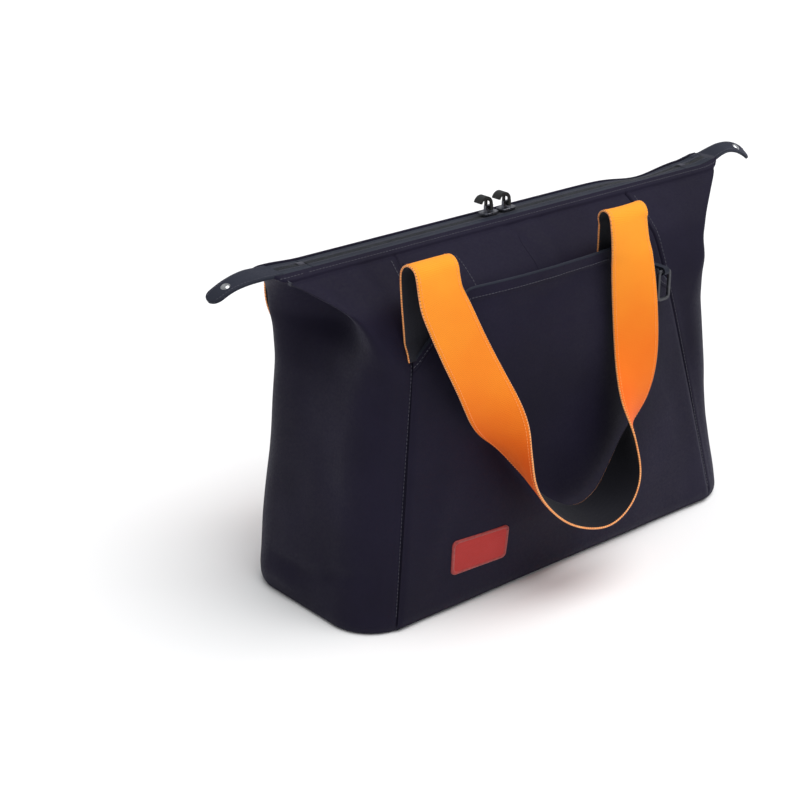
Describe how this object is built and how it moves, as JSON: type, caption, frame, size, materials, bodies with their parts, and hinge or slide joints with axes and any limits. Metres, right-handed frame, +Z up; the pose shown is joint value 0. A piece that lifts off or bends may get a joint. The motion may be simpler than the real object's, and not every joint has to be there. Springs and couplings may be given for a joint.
{
  "type": "racket tournament bag",
  "caption": "Soft zip-top tote for racket sport: winged trapezoid body, open racket sleeve on the front, long webbing handles and a small key ring.",
  "frame": {"origin": "centre of the base, on the ground", "axes": "+X along the bag to the right as seen from the front, front towards -Y, +Z up"},
  "size_m": [0.6597, 0.3181, 0.3408],
  "materials": {
    "navy_fabric": "smooth dense water-repellent fabric, faint plain weave",
    "navy_binding": "ribbed binding and webbing",
    "handle_webbing": "flat woven webbing, orange outside and navy inside, stitched edges",
    "zip_tape": "woven zip tape",
    "zip_coil": "nylon coil",
    "slider_metal": "gunmetal, worn bright at the edges",
    "pull_rubber": "matte moulded rubber",
    "stud_metal": "nickel press stud",
    "ring_plastic": "satin moulded plastic",
    "label_red": "plain woven label with a sewn border",
    "board": "stiff base board"
  },
  "bodies": {
    "bag": {"front_panel": "navy_fabric", "back_panel": "navy_fabric", "left_gusset": "navy_fabric", "right_gusset": "navy_fabric", "racket_sleeve": "navy_fabric", "base_panel": "navy_fabric", "sleeve_binding": "navy_binding", "base_board": "board", "zip_end_left": "zip_tape", "zip_end_right": "zip_tape", "key_tab": "navy_binding", "front_label": "label_red", "anchor_front_left": "handle_webbing", "patch_front_left": "navy_fabric", "anchor_front_right": "handle_webbing", "patch_front_right": "navy_fabric", "anchor_back_left": "handle_webbing", "patch_back_left": "navy_fabric", "anchor_back_right": "handle_webbing", "patch_back_right": "navy_fabric"},
    "zip_front": {"zip_tape_front": "zip_tape", "zip_coil_front": "zip_coil"},
    "zip_back": {"zip_tape_back": "zip_tape", "zip_coil_back": "zip_coil"},
    "slider_left": {"slider_left": "slider_metal"},
    "slider_right": {"slider_right": "slider_metal"},
    "pull_left": {"pull_left": "pull_rubber"},
    "pull_right": {"pull_right": "pull_rubber"},
    "handle_front": {"handle_front": "handle_webbing"},
    "handle_back": {"handle_back": "handle_webbing"},
    "tab_left": {"tab_left": "navy_binding", "stud_left": "stud_metal"},
    "tab_right": {"tab_right": "navy_binding", "stud_right": "stud_metal"},
    "key_ring": {"key_ring": "ring_plastic"}
  },
  "joints": [
    {"name": "left_slider_slide", "type": "slide", "parent": "bag", "child": "slider_left", "axis": [-1, 0, 0], "range_m": [0, 0.2215]},
    {"name": "right_slider_slide", "type": "slide", "parent": "bag", "child": "slider_right", "axis": [1, 0, 0], "range_m": [0, 0.2435]},
    {"name": "zip_front_fold", "type": "hinge", "parent": "bag", "child": "zip_front", "pos_m": [0, -0.012, 0.3212], "axis": [-1, 0, 0], "range_deg": [0, 80]},
    {"name": "zip_back_fold", "type": "hinge", "parent": "bag", "child": "zip_back", "pos_m": [0, 0.012, 0.3212], "axis": [1, 0, 0], "range_deg": [0, 80]},
    {"name": "left_pull_swing", "type": "hinge", "parent": "slider_left", "child": "pull_left", "pos_m": [-0.022, 0, 0.3281], "axis": [0, -1, 0], "range_deg": [-30, 28]},
    {"name": "right_pull_swing", "type": "hinge", "parent": "slider_right", "child": "pull_right", "pos_m": [0, 0, 0.3281], "axis": [0, -1, 0], "range_deg": [-90, 18]},
    {"name": "front_handle_lift", "type": "hinge", "parent": "bag", "child": "handle_front", "pos_m": [0, -0.09015, 0.324], "axis": [-1, 0, 0], "range_deg": [0, 170]},
    {"name": "back_handle_lift", "type": "hinge", "parent": "bag", "child": "handle_back", "pos_m": [0, 0.09825, 0.272], "axis": [1, 0, 0], "range_deg": [0, 170]},
    {"name": "left_tab_fold", "type": "hinge", "parent": "bag", "child": "tab_left", "pos_m": [-0.2744, 0, 0.3212], "axis": [0, 1, 0], "range_deg": [-35, 40]},
    {"name": "right_tab_fold", "type": "hinge", "parent": "bag", "child": "tab_right", "pos_m": [0.2744, 0, 0.3212], "axis": [0, -1, 0], "range_deg": [-60, 25]},
    {"name": "key_ring_swing", "type": "hinge", "parent": "bag", "child": "key_ring", "pos_m": [0.11, -0.09579, 0.26454], "axis": [-1, 0, 0], "range_deg": [-6, 120]}
  ],
  "couplings": [
    {"joint": "right_slider_slide", "follows": "left_slider_slide", "ratio": 1.099},
    {"joint": "zip_front_fold", "follows": "left_slider_slide", "rad_per_m": 6.3035},
    {"joint": "zip_back_fold", "follows": "left_slider_slide", "rad_per_m": 6.3035}
  ]
}
